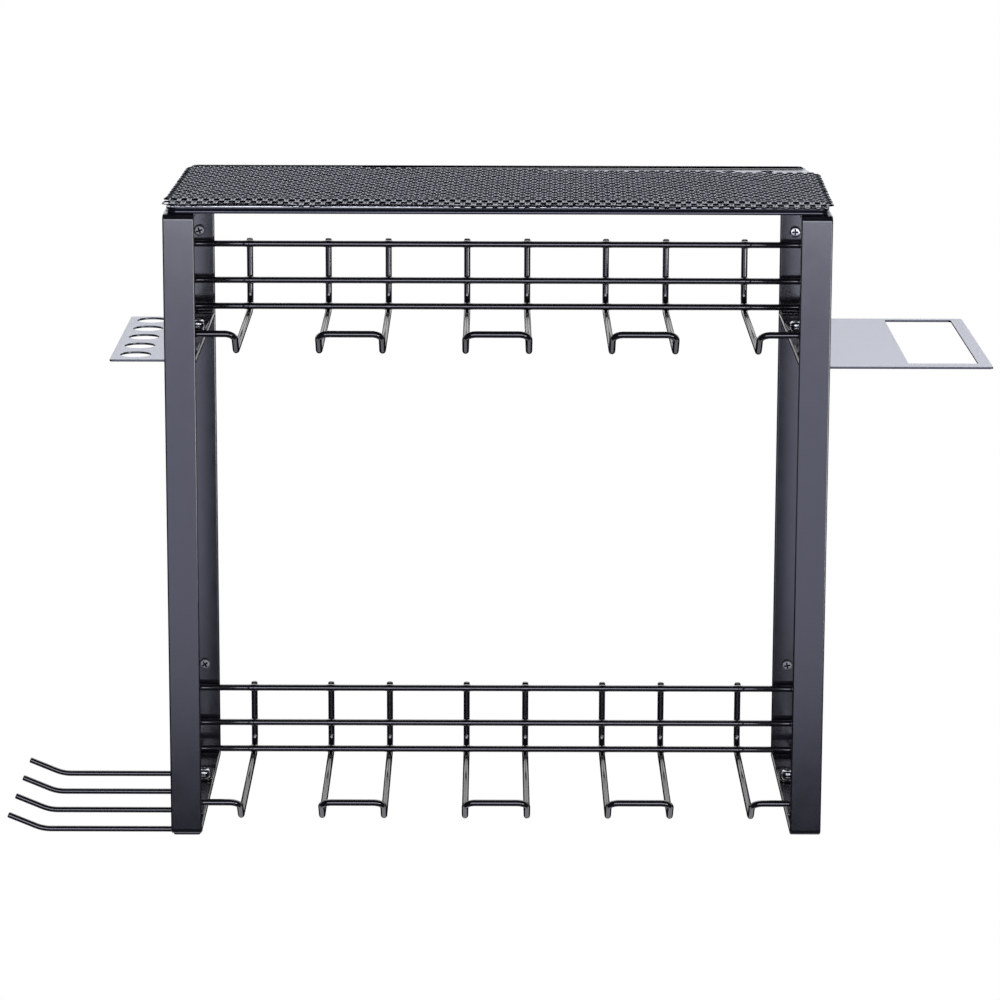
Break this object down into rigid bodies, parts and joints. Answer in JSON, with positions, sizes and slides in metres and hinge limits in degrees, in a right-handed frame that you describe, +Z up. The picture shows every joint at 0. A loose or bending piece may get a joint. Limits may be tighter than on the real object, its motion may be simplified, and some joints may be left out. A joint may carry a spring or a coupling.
{
  "type": "wall mounted power tool organizer",
  "caption": "Wall organiser of bent flat-bar side frames with wire hook racks for cordless drills, a perforated top tray, a drilled tool plate, a window plate and side hooks.",
  "frame": {"origin": "on the wall plane, midway between the two side frames, level with their underside", "axes": "+X to the right seen from the front, +Y into the wall, +Z up"},
  "size_m": [0.6632, 0.2016, 0.4392],
  "materials": {
    "frame_paint": "semi-gloss black powder coat on bent flat bar and sheet",
    "wire_paint": "gloss black coat on steel wire, pooled at the welds",
    "plate_paint": "satin black powder coat on sheet steel",
    "bright_steel": "bright zinc-plated screws and nuts",
    "dark_steel": "dark plated wall screws",
    "mat_vinyl": "matt black foamed vinyl net"
  },
  "bodies": {
    "root": {"side_frame_left": "frame_paint", "side_frame_right": "frame_paint", "mid_arm_left": "frame_paint", "mid_arm_right": "frame_paint", "lower_hook_1": "wire_paint", "lower_hook_2": "wire_paint", "lower_hook_3": "wire_paint", "lower_hook_4": "wire_paint", "lower_hook_5": "wire_paint", "lower_wire_top": "wire_paint", "lower_wire_middle": "wire_paint", "lower_wire_bottom": "wire_paint", "upper_hook_1": "wire_paint", "upper_hook_2": "wire_paint", "upper_hook_3": "wire_paint", "upper_hook_4": "wire_paint", "upper_hook_5": "wire_paint", "upper_wire_top": "wire_paint", "upper_wire_middle": "wire_paint", "upper_wire_bottom": "wire_paint", "lower_tab_left_rear": "wire_paint", "lower_tab_left_front": "wire_paint", "lower_tab_right_rear": "wire_paint", "lower_tab_right_front": "wire_paint", "upper_tab_left_rear": "wire_paint", "upper_tab_left_front": "wire_paint", "upper_tab_right_rear": "wire_paint", "upper_tab_right_front": "wire_paint", "lower_screw_left_rear": "bright_steel", "lower_screw_left_front": "bright_steel", "lower_screw_right_rear": "bright_steel", "lower_screw_right_front": "bright_steel", "upper_screw_left_rear": "bright_steel", "upper_screw_left_front": "bright_steel", "upper_screw_right_rear": "bright_steel", "upper_screw_right_front": "bright_steel", "lower_nut_left_rear": "bright_steel", "lower_nut_left_front": "bright_steel", "lower_nut_right_rear": "bright_steel", "lower_nut_right_front": "bright_steel", "upper_nut_left_rear": "bright_steel", "upper_nut_left_front": "bright_steel", "upper_nut_right_rear": "bright_steel", "upper_nut_right_front": "bright_steel", "wall_screw_lower_left": "dark_steel", "wall_screw_lower_right": "dark_steel", "wall_screw_upper_left": "dark_steel", "wall_screw_upper_right": "bright_steel", "shelf_tray": "frame_paint", "tray_screw_left": "bright_steel", "tray_screw_right": "bright_steel", "mesh_mat": "mat_vinyl", "tool_plate": "plate_paint", "window_plate": "plate_paint", "hook_rail": "wire_paint", "side_hook_1": "wire_paint", "side_hook_2": "wire_paint", "side_hook_3": "wire_paint", "side_hook_4": "wire_paint"}
  },
  "joints": []
}
